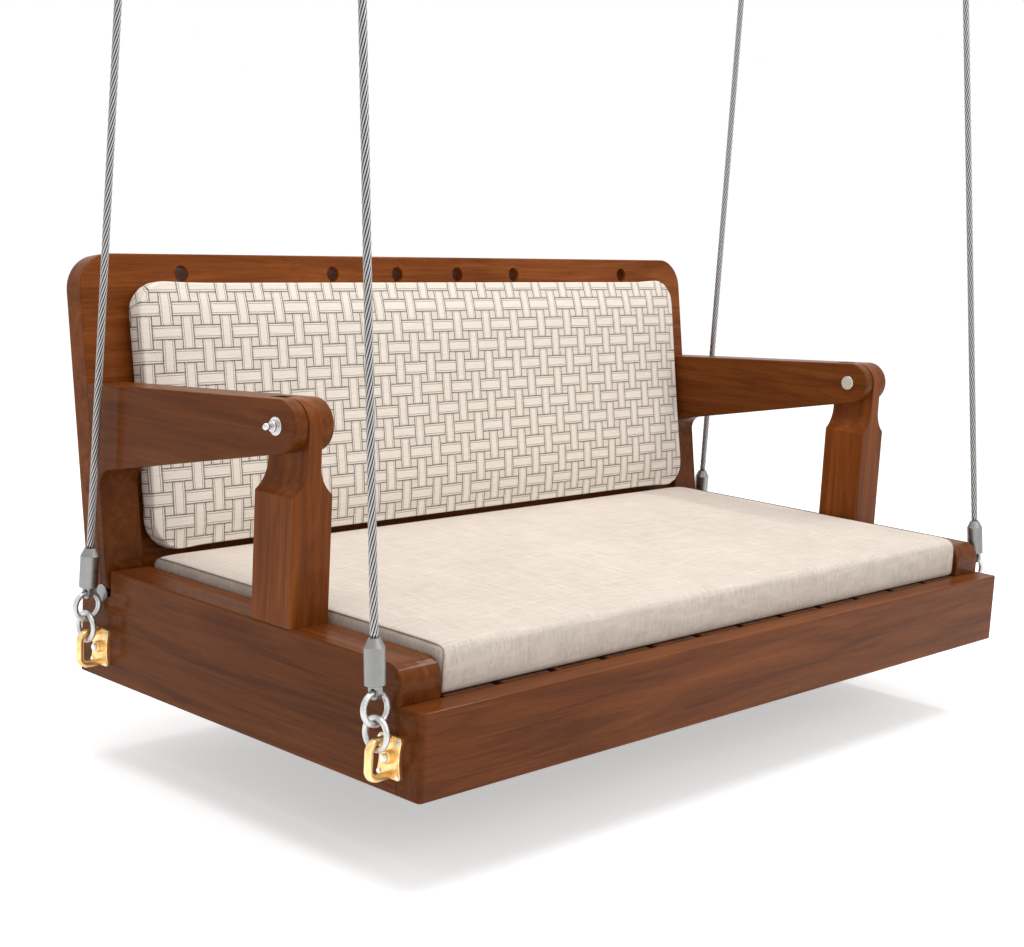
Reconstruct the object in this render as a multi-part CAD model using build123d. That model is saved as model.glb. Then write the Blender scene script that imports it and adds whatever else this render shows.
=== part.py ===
from build123d import *
import os
from math import asin, atan2, cos, degrees, hypot, radians, sin, tan

# A jhoola: a wooden swing seat for two or three people, hung from the ceiling by four wire ropes.
# Millimetres. X runs along the seat, Y from its front to its back, Z up. The origin lies on the
# ceiling, over the middle of the seat. Distances "from the front" are measured from the front
# rail's face and heights "above the base" from the underside of the seat frame.

# ---- seat frame ------------------------------------------------------------------------------
SEAT_LENGTH = 1524.0
SEAT_DEPTH = 813.0
CEILING_HEIGHT = 1412.0          # underside of the seat frame to the ceiling
FRONT_RAIL_HEIGHT = 125.0
FRONT_RAIL_THICK = 45.0
SIDE_RAIL_HEIGHT = 180.0
SIDE_RAIL_THICK = 76.0
SIDE_RAIL_NOSE = 28.0            # radius of the side rail's front top corner
BACK_RAIL_HEIGHT = 112.0
BACK_RAIL_THICK = 50.0
FRAME_CORNER = 8.0               # upright outer corners of the frame
EDGE_ROUND = 3.0                 # softened edges of all the visible timber
HIDDEN_ROUND = 1.5

# ---- notch at the back end of each side rail, where the backrest comes to rest -----------------
NOTCH_LENGTH = 86.0
NOTCH_FLOOR = 137.0              # above the base
REST_BAR_DIA = 16.0
REST_BAR_GROOVE = 4.0
REST_BAR_FROM_BACK = 62.0
REST_HEAD_DIA = 28.0
REST_HEAD_THICK = 1.5

# ---- seat deck ---------------------------------------------------------------------------------
SLAT_COUNT = 12
SLAT_THICK = 20.0
SLAT_GAP = 16.0
CLEAT_WIDTH = 30.0
CLEAT_HEIGHT = 30.0
DOWEL_DIA = 12.0
DOWEL_LENGTH = 50.0
DOWEL_SPACING = 60.0

# ---- posts -------------------------------------------------------------------------------------
POST_THICK = 72.0                # along X, as the arms
POST_DEPTH = 90.0
POST_FROM_FRONT = 280.0
POST_SHOULDER = 368.0            # above the base
SCOOP_RISE = 44.0
TONGUE_THICK = 24.0
TENON_THICK = 30.0
TENON_DEPTH = 50.0
TENON_LENGTH = 60.0
JOINERY_GAP = 0.2

# ---- pivot pins --------------------------------------------------------------------------------
PIN_HEIGHT = 466.0               # above the base
PIN_DIA = 12.0
BUSH_WALL = 2.0
PIN_FIT = 0.05                   # running clearance on the radius
PIN_HEAD_DIA = 27.0
PIN_HEAD_THICK = 4.0
WASHER_THICK = 2.0
NUT_DIA = 17.0
NUT_LENGTH = 7.0
NECK_DIA = 8.0
NECK_LENGTH = 5.0
BALL_DIA = 11.6

# ---- arms --------------------------------------------------------------------------------------
NOSE_RADIUS = 39.0
NOSE_FORWARD = 4.0               # nose centre in front of the pin
SLOT_CLEARANCE = 0.5             # each side of the tongue
SLOT_BEHIND_PIN = 48.0
ARM_BACK_TOP = 472.0             # above the base, where the arm meets the back panel
ARM_BACK_HEIGHT = 136.0
LEG_DEPTH = 16.0
LEG_FILLET = 26.0
ARM_SCREW_DIA = 8.0
ARM_SCREW_LENGTH = 90.0
ARM_SCREW_SPACING = 70.0
ARM_SCREW_HEAD_DIA = 14.0
ARM_SCREW_HEAD = 6.0

# ---- back panel --------------------------------------------------------------------------------
RECLINE = 9.0                    # degrees from upright
PANEL_FROM_BACK = 10.0           # its front face from the frame's back, at the height of ARM_BACK_TOP
PANEL_THICK = 42.0
PANEL_TOP = 677.0                # above the base, at its front face
PANEL_CORNER = 58.0
PANEL_HOLE_DIA = 28.0
PANEL_HOLE_DROP = 33.0
INNER_HOLE_PITCH = 157.0
END_HOLE_OFFSET = 566.0

# ---- cushions ----------------------------------------------------------------------------------
SEAT_CUSHION_THICK = 73.0
SEAT_CUSHION_FROM_FRONT = 47.0
SEAT_CUSHION_BACK_GAP = 18.0     # to the foot of the back panel
SEAT_CUSHION_SIDE_GAP = 2.0
BACK_CUSHION_THICK = 52.0
BACK_CUSHION_TOP = 630.0         # above the base, at the panel's face
BACK_CUSHION_BOTTOM = 201.0
BACK_CUSHION_SIDE_GAP = 6.0
BACK_CUSHION_CORNER = 55.0
CUSHION_ROUND = 14.0
SOFT_GAP = 0.3

# ---- suspension --------------------------------------------------------------------------------
BRACKET_FROM_FRONT = 57.0        # front bracket's centre
BRACKET_FROM_BACK = 65.0         # back bracket's centre, from the frame's back
BRACKET_HEIGHT = 54.0            # bracket centre above the base
BRACKET_WIDTH = 50.0
BRACKET_LENGTH = 60.0
BRACKET_THICK = 6.0
BRACKET_WAIST = 5.0              # how far each long side is hollowed
BRACKET_SCREW_PITCH_Y = 36.0
BRACKET_SCREW_PITCH_Z = 48.0
BOSS_DIA = 19.0                  # raised round seat of the centre bolt
BOSS_HEIGHT = 8.0
LOOP_REACH = 41.0                # outside the plate
LOOP_HEIGHT = 62.0
LOOP_WIDTH = 12.0
LOOP_NOSE = 19.0                 # radius of the loop's outer corners
LOOP_HOLE_REACH = 30.5           # outside the plate
LOOP_HOLE_HEIGHT = 41.0
LOOP_HOLE_CORNER = 8.0
LOOP_EDGE = 4.5
SCREW_DIA = 4.0
SCREW_HEAD_DIA = 7.5
SCREW_HEAD_THICK = 2.0
SCREW_LENGTH = 28.0
BOLT_DIA = 6.0
BOLT_HEAD_DIA = 12.0
BOLT_HEAD_THICK = 4.0
BOLT_LENGTH = 70.0
FASTENER_GAP = 0.2
HANGER_OUTSET = 29.5             # feet of the hangers outside the frame's side faces
RING_DIA = 52.0
RING_BAR_DIA = 9.0
FRONT_LOOP_SLACK = 1.3           # between a lower ring and its loop's bar
BACK_LOOP_SLACK = 1.75
LOOP_PLAY = 2.6                  # the back hangers' feet stand this far behind their loops' bars
LINK_SLACK = 0.3                 # between linked pieces of one hanger
EYE_SLACK = 0.8                  # between the upper ring and the terminal's eye
EYE_HOLE_RADIUS = 5.5
EYE_RADIUS = 10.0
EYE_THICK = 8.0
TERMINAL_DIA = 29.5
TERMINAL_BODY = 51.0
TERMINAL_CONE = 13.0
TERMINAL_TOP_DIA = 17.0
TANG_LENGTH = 9.0                # lower eye's centre to the terminal's body
UPPER_TANG_LENGTH = 17.0         # the same at the ceiling, where the ears need room
ROPE_DIA = 12.0
FRONT_LEAN = 0.112               # front ropes' lean, backwards per unit of height
BACK_LEAN = 0.030                # back ropes' lean, forwards per unit of height
SIDE_LEAN = 0.021                # all ropes' lean, towards the middle per unit of height
CEILING_PIN_DROP = 38.0          # upper pivot below the ceiling
CEILING_PLATE_SIZE = 80.0
CEILING_PLATE_THICK = 8.0
CEILING_HOLE_SPACING = 56.0
CEILING_HOLE_DIA = 9.0
EAR_THICK = 6.0
EAR_RADIUS = 13.0
CEILING_PIN_DIA = 10.0
CEILING_PIN_HEAD_DIA = 16.0
CEILING_PIN_HEAD = 3.0
EAR_GAP = 0.8                    # each side of the eye between the ears

# ---- derived places ----------------------------------------------------------------------------
HALF_LENGTH = SEAT_LENGTH / 2
INNER_HALF = HALF_LENGTH - SIDE_RAIL_THICK
DECK_LENGTH = 2 * INNER_HALF
TONGUE_START = (POST_THICK - TONGUE_THICK) / 2
PIN_FROM_FRONT = POST_FROM_FRONT + POST_DEPTH / 2
RECLINE_RATE = tan(radians(RECLINE))
ARM_BACK_BOTTOM = ARM_BACK_TOP - ARM_BACK_HEIGHT
PANEL_BOTTOM = NOTCH_FLOOR - REST_BAR_GROOVE + REST_BAR_DIA + LINK_SLACK
PANEL_FROM_FRONT = SEAT_DEPTH - PANEL_FROM_BACK
REST_BAR_FROM_FRONT = SEAT_DEPTH - REST_BAR_FROM_BACK
HANGER_X = HALF_LENGTH + HANGER_OUTSET
LOOP_HOLE_TOP = BRACKET_HEIGHT + LOOP_HOLE_HEIGHT / 2
LOOP_BAR_HEIGHT = (LOOP_HOLE_TOP + BRACKET_HEIGHT + LOOP_HEIGHT / 2) / 2
RING_MEAN = (RING_DIA - RING_BAR_DIA) / 2
RING_INNER = RING_DIA / 2 - RING_BAR_DIA


def y_at(from_front):
    return from_front - SEAT_DEPTH / 2


def z_at(above_base):
    return above_base - CEILING_HEIGHT


def panel_face(above_base):
    """Distance from the front of the back panel's front face at a height."""
    return PANEL_FROM_FRONT + (above_base - ARM_BACK_TOP) * RECLINE_RATE


def block(x0, x1, y0, y1, z0, z1):
    return Pos((x0 + x1) / 2, (y0 + y1) / 2, (z0 + z1) / 2) * Box(x1 - x0, y1 - y0, z1 - z0)


def slab_yz(face, x0, x1):
    """A YZ outline made solid from x0 to x1."""
    return extrude(Plane.YZ.offset(x0) * face, amount=x1 - x0)


def slab_xz(face, y0, y1):
    """An XZ outline made solid from y0 to y1."""
    return extrude(Plane.XZ.offset(-y1) * face, amount=y1 - y0)


def rod_x(x0, x1, y, z, radius):
    return Pos((x0 + x1) / 2, y, z) * Rot(0, 90, 0) * Cylinder(radius, x1 - x0)


def rod_y(x, y0, y1, z, radius):
    return Pos(x, (y0 + y1) / 2, z) * Rot(90, 0, 0) * Cylinder(radius, y1 - y0)


def mirrored(shape):
    return mirror(shape, about=Plane.YZ)


def both_sides(name, left_shape):
    """Nodes for a left-hand piece and its mirror image."""
    return {f"{name}_left": left_shape, f"{name}_right": mirrored(left_shape)}


def group(shapes):
    return Compound(children=[s for shape in shapes for s in shape.solids()])


# ---- seat frame --------------------------------------------------------------------------------
def bracket_centres():
    """Y of the front and the back brackets."""
    return y_at(BRACKET_FROM_FRONT), y_at(SEAT_DEPTH - BRACKET_FROM_BACK)


def bracket_screw_places():
    """Y and Z of a bracket's four screws, from its centre."""
    dy, dz = BRACKET_SCREW_PITCH_Y / 2, BRACKET_SCREW_PITCH_Z / 2
    return [(sy * dy, sz * dz) for sy in (-1, 1) for sz in (-1, 1)]


def fastener_holes():
    """Pilot holes of both brackets' screws and bolts in the timber of the left side."""
    holes = []
    x0 = -HALF_LENGTH
    for y in bracket_centres():
        z = z_at(BRACKET_HEIGHT)
        holes.append(rod_x(x0, x0 + BOLT_LENGTH - BOSS_HEIGHT, y, z, BOLT_DIA / 2 + FASTENER_GAP))
        for dy, dz in bracket_screw_places():
            holes.append(rod_x(x0, x0 + SCREW_LENGTH, y + dy, z + dz, SCREW_DIA / 2 + FASTENER_GAP))
    return holes


def dowel_places(rail_height):
    """Heights above the base of the two dowels in a frame corner."""
    middle = rail_height / 2
    return middle - DOWEL_SPACING / 2, middle + DOWEL_SPACING / 2


def frame_dowels(gap=0.0):
    """Dowels that join the side rails to the front rail and to the back rail."""
    pins = []
    radius = DOWEL_DIA / 2 + gap
    half = DOWEL_LENGTH / 2 + gap
    x = -HALF_LENGTH + SIDE_RAIL_THICK / 2
    for height in dowel_places(FRONT_RAIL_HEIGHT):
        y = y_at(FRONT_RAIL_THICK)
        pins.append(rod_y(x, y - half, y + half, z_at(height), radius))
    for height in dowel_places(BACK_RAIL_HEIGHT):
        y = y_at(SEAT_DEPTH - BACK_RAIL_THICK / 2)
        pins.append(rod_x(-INNER_HALF - half, -INNER_HALF + half, y, z_at(height), radius))
    return pins + [mirrored(pin) for pin in pins]


def post_tenon(gap=0.0):
    x = -HALF_LENGTH + POST_THICK / 2
    y = y_at(PIN_FROM_FRONT)
    top = z_at(SIDE_RAIL_HEIGHT)
    return block(x - TENON_THICK / 2 - gap, x + TENON_THICK / 2 + gap,
                 y - TENON_DEPTH / 2 - gap, y + TENON_DEPTH / 2 + gap,
                 top - TENON_LENGTH - gap, top)


def side_rail():
    front = y_at(FRONT_RAIL_THICK)
    back = y_at(SEAT_DEPTH)
    notch = y_at(SEAT_DEPTH - NOTCH_LENGTH)
    bottom, top, floor = z_at(0), z_at(SIDE_RAIL_HEIGHT), z_at(NOTCH_FLOOR)
    outline = make_face(Polyline((front, bottom), (back, bottom), (back, floor), (notch, floor),
                                 (notch, top), (front, top), close=True))
    nose = outline.vertices().sort_by(Axis.X)[0:2].sort_by(Axis.Y)[-1]
    outline = fillet(nose, SIDE_RAIL_NOSE)
    rail = slab_yz(outline, -HALF_LENGTH, -INNER_HALF)
    upright = rail.edges().filter_by(Axis.Z).group_by(Axis.Y)[-1]
    rail = fillet(upright.group_by(Axis.X)[0], FRAME_CORNER)
    long_edges = rail.edges().filter_by(Axis.Y)
    rail = fillet(long_edges.group_by(Axis.Z)[-1] + long_edges.group_by(Axis.Z)[0], EDGE_ROUND)
    bar_y, bar_z = y_at(REST_BAR_FROM_FRONT), rest_bar_z()
    rail -= rod_x(-HALF_LENGTH, -INNER_HALF, bar_y, bar_z, REST_BAR_DIA / 2)
    rail -= post_tenon(JOINERY_GAP)
    for hole in fastener_holes() + frame_dowels(JOINERY_GAP):
        rail -= hole
    return rail


def front_rail():
    front, back = y_at(0), y_at(FRONT_RAIL_THICK)
    rail = block(-HALF_LENGTH, HALF_LENGTH, front, back, z_at(0), z_at(FRONT_RAIL_HEIGHT))
    upright = rail.edges().filter_by(Axis.Z).group_by(Axis.Y)[0]
    rail = fillet(upright, FRAME_CORNER)
    rail = fillet(rail.faces().sort_by(Axis.Z)[-1].edges() + rail.faces().sort_by(Axis.Z)[0].edges(),
                  EDGE_ROUND)
    holes = fastener_holes()
    for hole in frame_dowels(JOINERY_GAP) + holes + [mirrored(hole) for hole in holes]:
        rail -= hole
    return rail


def back_rail():
    back = y_at(SEAT_DEPTH)
    rail = block(-INNER_HALF, INNER_HALF, back - BACK_RAIL_THICK, back, z_at(0), z_at(BACK_RAIL_HEIGHT))
    rail = fillet(rail.edges().filter_by(Axis.X), HIDDEN_ROUND)
    for hole in frame_dowels(JOINERY_GAP):
        rail -= hole
    return rail


def rest_bar_z():
    return z_at(NOTCH_FLOOR - REST_BAR_GROOVE + REST_BAR_DIA / 2)


def rest_bar():
    """Steel bar across the notch, with a thin round head on the outer face."""
    y, z = y_at(REST_BAR_FROM_FRONT), rest_bar_z()
    bar = rod_x(-HALF_LENGTH, -INNER_HALF, y, z, REST_BAR_DIA / 2)
    head = rod_x(-HALF_LENGTH - REST_HEAD_THICK, -HALF_LENGTH, y, z, REST_HEAD_DIA / 2)
    head = fillet(head.edges().group_by(Axis.X)[0], REST_HEAD_THICK / 3)
    return bar + head


# ---- seat deck ---------------------------------------------------------------------------------
def deck_levels():
    """Z of the slats' top, their underside, and the cleats' underside."""
    top = z_at(FRONT_RAIL_HEIGHT)
    return top, top - SLAT_THICK, top - SLAT_THICK - CLEAT_HEIGHT


def cleat(y0):
    _, top, bottom = deck_levels()
    bar = block(-INNER_HALF, INNER_HALF, y0, y0 + CLEAT_WIDTH, bottom, top)
    return fillet(bar.edges().filter_by(Axis.X).group_by(Axis.Z)[0], HIDDEN_ROUND)


def seat_slats():
    top, bottom, _ = deck_levels()
    pitch = DECK_LENGTH / SLAT_COUNT
    front, back = y_at(FRONT_RAIL_THICK), y_at(SEAT_DEPTH - BACK_RAIL_THICK)
    half = (pitch - SLAT_GAP) / 2
    slats = []
    for i in range(SLAT_COUNT):
        x = -INNER_HALF + pitch * (i + 0.5)
        slat = block(x - half, x + half, front, back, bottom, top)
        slats.append(fillet(slat.edges().filter_by(Axis.Y), HIDDEN_ROUND))
    return group(slats)


# ---- posts and pivots --------------------------------------------------------------------------
def post():
    x0 = -HALF_LENGTH
    x1 = x0 + POST_THICK
    left_tongue, right_tongue = x0 + TONGUE_START, x1 - TONGUE_START
    bottom, shoulder = z_at(SIDE_RAIL_HEIGHT), z_at(POST_SHOULDER)
    scoop_top = shoulder + SCOOP_RISE
    top = z_at(PIN_HEIGHT + NOSE_RADIUS)
    radius = (TONGUE_START ** 2 + SCOOP_RISE ** 2) / (2 * TONGUE_START)
    half_turn = atan2(SCOOP_RISE, radius - TONGUE_START) / 2
    bulge_x = radius * (1 - cos(half_turn))
    bulge_z = radius * sin(half_turn)
    outline = Line((x0, bottom), (x0, shoulder))
    outline += ThreePointArc((x0, shoulder), (left_tongue - bulge_x, scoop_top - bulge_z),
                             (left_tongue, scoop_top))
    outline += Line((left_tongue, scoop_top), (left_tongue, top))
    outline += Line((left_tongue, top), (right_tongue, top))
    outline += Line((right_tongue, top), (right_tongue, scoop_top))
    outline += ThreePointArc((right_tongue, scoop_top), (right_tongue + bulge_x, scoop_top - bulge_z),
                             (x1, shoulder))
    outline += Line((x1, shoulder), (x1, bottom))
    outline += Line((x1, bottom), (x0, bottom))
    front, back = y_at(POST_FROM_FRONT), y_at(POST_FROM_FRONT + POST_DEPTH)
    body = slab_xz(make_face(outline), front, back)
    crown = body.edges().filter_by(Axis.X).group_by(Axis.Z)[-1]
    body = fillet(crown, NOSE_RADIUS)
    uprights = body.edges().filter_by(Axis.Z).filter_by_position(Axis.Z, bottom, shoulder)
    body = fillet(uprights, EDGE_ROUND)
    body += post_tenon()
    y, z = y_at(PIN_FROM_FRONT), z_at(PIN_HEIGHT)
    return body - rod_x(x0, x1, y, z, PIN_DIA / 2 + PIN_FIT + BUSH_WALL)


def pivot_bush():
    y, z = y_at(PIN_FROM_FRONT), z_at(PIN_HEIGHT)
    x0 = -HALF_LENGTH + TONGUE_START
    inner = PIN_DIA / 2 + PIN_FIT
    return (rod_x(x0, x0 + TONGUE_THICK, y, z, inner + BUSH_WALL)
            - rod_x(x0, x0 + TONGUE_THICK, y, z, inner))


def pivot_pin():
    """Pin with a flat round head inside the arm and a ball-ended tail outside it."""
    y, z = y_at(PIN_FROM_FRONT), z_at(PIN_HEIGHT)
    outer = -HALF_LENGTH
    inner = outer + POST_THICK
    neck_end = outer - WASHER_THICK - NUT_LENGTH - NECK_LENGTH
    head = rod_x(inner, inner + PIN_HEAD_THICK, y, z, PIN_HEAD_DIA / 2)
    head = fillet(head.edges().group_by(Axis.X)[-1], PIN_HEAD_THICK / 4)
    pin = rod_x(outer - WASHER_THICK - NUT_LENGTH, inner, y, z, PIN_DIA / 2)
    pin += rod_x(neck_end, outer - WASHER_THICK - NUT_LENGTH, y, z, NECK_DIA / 2)
    pin += Pos(neck_end - BALL_DIA / 4, y, z) * Sphere(BALL_DIA / 2)
    return pin + head


def pivot_washer():
    y, z = y_at(PIN_FROM_FRONT), z_at(PIN_HEIGHT)
    outer = -HALF_LENGTH
    disc = rod_x(outer - WASHER_THICK, outer, y, z, PIN_HEAD_DIA / 2)
    disc = fillet(disc.edges().group_by(Axis.X)[0], WASHER_THICK / 3)
    return disc - rod_x(outer - WASHER_THICK, outer, y, z, PIN_DIA / 2 + PIN_FIT)


def pivot_nut():
    y, z = y_at(PIN_FROM_FRONT), z_at(PIN_HEIGHT)
    face = -HALF_LENGTH - WASHER_THICK
    nut = rod_x(face - NUT_LENGTH, face, y, z, NUT_DIA / 2)
    nut = fillet(nut.edges().group_by(Axis.X)[0], NUT_LENGTH / 4)
    return nut - rod_x(face - NUT_LENGTH, face, y, z, PIN_DIA / 2 + PIN_FIT)


# ---- backrest ----------------------------------------------------------------------------------
def tangent_point(point, centre, radius, side):
    """Where a line from a point touches a circle; side is 1 for its upper side and -1 for its lower."""
    dy, dz = point[0] - centre[0], point[1] - centre[1]
    turn = atan2(dz, dy) + side * (radians(90) - asin(radius / hypot(dy, dz)))
    return centre[0] + radius * cos(turn), centre[1] + radius * sin(turn)


def arm():
    """Forked arm with a leg that runs down the back panel's face to the rest bar."""
    nose = (y_at(PIN_FROM_FRONT - NOSE_FORWARD), z_at(PIN_HEIGHT))
    back_top = (y_at(PANEL_FROM_FRONT), z_at(ARM_BACK_TOP))
    leg_foot = (y_at(panel_face(PANEL_BOTTOM)), z_at(PANEL_BOTTOM))
    leg_toe = (leg_foot[0] - LEG_DEPTH, leg_foot[1])
    leg_top = (y_at(panel_face(ARM_BACK_BOTTOM)) - LEG_DEPTH, z_at(ARM_BACK_BOTTOM))
    touch_top = tangent_point(back_top, nose, NOSE_RADIUS, 1)
    touch_bottom = tangent_point(leg_top, nose, NOSE_RADIUS, -1)
    tip = (nose[0] - NOSE_RADIUS, nose[1])
    outline = Line(back_top, touch_top)
    outline += ThreePointArc(touch_top, tip, touch_bottom)
    outline += Line(touch_bottom, leg_top)
    outline += Line(leg_top, leg_toe)
    outline += Line(leg_toe, leg_foot)
    outline += Line(leg_foot, back_top)
    face = make_face(outline)
    corner = face.vertices().sort_by_distance((leg_top[0], leg_top[1], 0))[0]
    face = fillet(corner, LEG_FILLET)
    x0, x1 = -HALF_LENGTH, -HALF_LENGTH + POST_THICK
    body = slab_yz(face, x0, x1)
    soft = body.faces().filter_by(Axis.X).edges()
    against_panel = soft.sort_by(Axis.Y)[-2:]
    body = fillet([edge for edge in soft if edge not in against_panel], EDGE_ROUND)
    slot_x0 = x0 + TONGUE_START - SLOT_CLEARANCE
    slot_x1 = x1 - TONGUE_START + SLOT_CLEARANCE
    pin_y, pin_z = y_at(PIN_FROM_FRONT), z_at(PIN_HEIGHT)
    body -= block(slot_x0, slot_x1, nose[0] - 2 * NOSE_RADIUS, pin_y + SLOT_BEHIND_PIN,
                  pin_z - 2 * NOSE_RADIUS, pin_z + 2 * NOSE_RADIUS)
    body -= rod_x(x0, x1, pin_y, pin_z, PIN_DIA / 2 + PIN_FIT)
    for screw in arm_screw_bodies(FASTENER_GAP):
        body -= screw
    return body


def in_panel(shape):
    """Places a shape from the panel's own frame: X along it, Y into it, Z up its front face."""
    return Pos(0, y_at(PANEL_FROM_FRONT), z_at(ARM_BACK_TOP)) * Rot(-RECLINE, 0, 0) * shape


def up_panel(above_base):
    """Distance up the panel's face, from the arm's top, of a height above the base."""
    return (above_base - ARM_BACK_TOP) / cos(radians(RECLINE))


def arm_screw_bodies(gap=0.0):
    """Two screws for the left arm, through the back panel, in the row's frame."""
    x = -HALF_LENGTH + POST_THICK / 2
    middle = up_panel(ARM_BACK_TOP - ARM_BACK_HEIGHT / 2)
    screws = []
    for dz in (-ARM_SCREW_SPACING / 2, ARM_SCREW_SPACING / 2):
        shank = rod_y(x, PANEL_THICK - ARM_SCREW_LENGTH, PANEL_THICK, middle + dz, ARM_SCREW_DIA / 2 + gap)
        head = rod_y(x, PANEL_THICK - ARM_SCREW_HEAD, PANEL_THICK, middle + dz,
                     ARM_SCREW_HEAD_DIA / 2 + gap)
        screws.append(in_panel(shank + head))
    return screws


def back_panel():
    bottom, top = up_panel(PANEL_BOTTOM), up_panel(PANEL_TOP)
    outline = Pos(0, (bottom + top) / 2) * Rectangle(SEAT_LENGTH, top - bottom)
    outline = fillet(outline.vertices().group_by(Axis.Y)[-1], PANEL_CORNER)
    hole_z = top - PANEL_HOLE_DROP
    inner = [INNER_HOLE_PITCH * (i - 1.5) for i in range(4)]
    for x in [-END_HOLE_OFFSET] + inner + [END_HOLE_OFFSET]:
        outline -= Pos(x, hole_z) * Circle(PANEL_HOLE_DIA / 2)
    board = slab_xz(outline, 0, PANEL_THICK)
    rim = [e for face in board.faces().filter_by(Axis.Y) for e in face.outer_wire().edges()]
    board = in_panel(fillet(rim, EDGE_ROUND))
    for screw in arm_screw_bodies(FASTENER_GAP):
        board -= screw
        board -= mirrored(screw)
    return board


def back_cushion():
    bottom, top = up_panel(BACK_CUSHION_BOTTOM), up_panel(BACK_CUSHION_TOP)
    half = HALF_LENGTH - POST_THICK - BACK_CUSHION_SIDE_GAP
    outline = Pos(0, (bottom + top) / 2) * RectangleRounded(2 * half, top - bottom, BACK_CUSHION_CORNER)
    pad = slab_xz(outline, -BACK_CUSHION_THICK, -SOFT_GAP)
    front_rim = pad.faces().sort_by(Axis.Y)[0].edges()
    return in_panel(fillet(front_rim, CUSHION_ROUND))


def seat_cushion():
    half = INNER_HALF - SEAT_CUSHION_SIDE_GAP
    front = y_at(SEAT_CUSHION_FROM_FRONT)
    back = y_at(panel_face(PANEL_BOTTOM) - SEAT_CUSHION_BACK_GAP)
    bottom = z_at(FRONT_RAIL_HEIGHT) + SOFT_GAP
    pad = block(-half, half, front, back, bottom, bottom + SEAT_CUSHION_THICK)
    return fillet(pad.faces().sort_by(Axis.Z)[-1].edges(), CUSHION_ROUND / 2)


# ---- suspension --------------------------------------------------------------------------------
def cast_loop(face_x, z, y):
    """Loop outside the plate: a rounded arch with a rounded opening, soft at all its edges."""
    arch = Pos(face_x - LOOP_REACH / 2, z) * Rectangle(LOOP_REACH, LOOP_HEIGHT)
    arch = fillet(arch.vertices().group_by(Axis.X)[0], LOOP_NOSE)
    hole = Pos(face_x - LOOP_HOLE_REACH / 2, z) * Rectangle(LOOP_HOLE_REACH, LOOP_HOLE_HEIGHT)
    hole = fillet(hole.vertices().group_by(Axis.X)[0], LOOP_HOLE_CORNER)
    loop = slab_xz(arch - hole, y - LOOP_WIDTH / 2, y + LOOP_WIDTH / 2)
    rims = loop.faces().filter_by(Axis.Y).edges()
    at_plate = rims.filter_by(Axis.Z).group_by(Axis.X)[-1]
    return fillet([edge for edge in rims if edge not in at_plate], LOOP_EDGE)


def corner_bracket(y):
    """Cast plate with hollowed sides, a D-shaped loop and a boss for the centre bolt, on the left side."""
    half_w, half_l = BRACKET_WIDTH / 2, BRACKET_LENGTH / 2
    waist = half_w - BRACKET_WAIST
    side = Line((-half_w, half_l), (half_w, half_l))
    side += ThreePointArc((half_w, half_l), (waist, 0), (half_w, -half_l))
    side += Line((half_w, -half_l), (-half_w, -half_l))
    side += ThreePointArc((-half_w, -half_l), (-waist, 0), (-half_w, half_l))
    outline = make_face(side)
    outline = fillet(outline.vertices(), BRACKET_THICK)
    z = z_at(BRACKET_HEIGHT)
    face_x = -HALF_LENGTH - BRACKET_THICK
    plate = slab_yz(Pos(y, z) * outline, face_x, -HALF_LENGTH)
    plate = fillet(plate.faces().sort_by(Axis.X)[0].edges(), BRACKET_THICK / 4)
    boss = rod_x(face_x - BOSS_HEIGHT, face_x, y, z, BOSS_DIA / 2)
    boss = fillet(boss.edges().group_by(Axis.X)[0], BOSS_HEIGHT / 4)
    bracket = plate + cast_loop(face_x, z, y) + boss
    bracket -= rod_x(face_x - BOSS_HEIGHT, -HALF_LENGTH, y, z, BOLT_DIA / 2 + FASTENER_GAP)
    for dy, dz in bracket_screw_places():
        bracket -= rod_x(face_x, -HALF_LENGTH, y + dy, z + dz, SCREW_DIA / 2 + FASTENER_GAP)
    return bracket


def bracket_screws():
    screws = []
    face_x = -HALF_LENGTH - BRACKET_THICK
    for y in bracket_centres():
        z = z_at(BRACKET_HEIGHT)
        for dy, dz in bracket_screw_places():
            head = rod_x(face_x - SCREW_HEAD_THICK, face_x, y + dy, z + dz, SCREW_HEAD_DIA / 2)
            head = fillet(head.edges().group_by(Axis.X)[0], SCREW_HEAD_THICK / 2)
            screws.append(head + rod_x(face_x, face_x + SCREW_LENGTH, y + dy, z + dz, SCREW_DIA / 2))
    return group(screws + [mirrored(s) for s in screws])


def bracket_bolts():
    bolts = []
    face_x = -HALF_LENGTH - BRACKET_THICK - BOSS_HEIGHT
    for y in bracket_centres():
        z = z_at(BRACKET_HEIGHT)
        head = rod_x(face_x - BOLT_HEAD_THICK, face_x, y, z, BOLT_HEAD_DIA / 2)
        head = fillet(head.edges().group_by(Axis.X)[0], BOLT_HEAD_THICK / 2)
        bolts.append(head + rod_x(face_x, face_x + BOLT_LENGTH, y, z, BOLT_DIA / 2))
    return group(bolts + [mirrored(b) for b in bolts])


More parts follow.
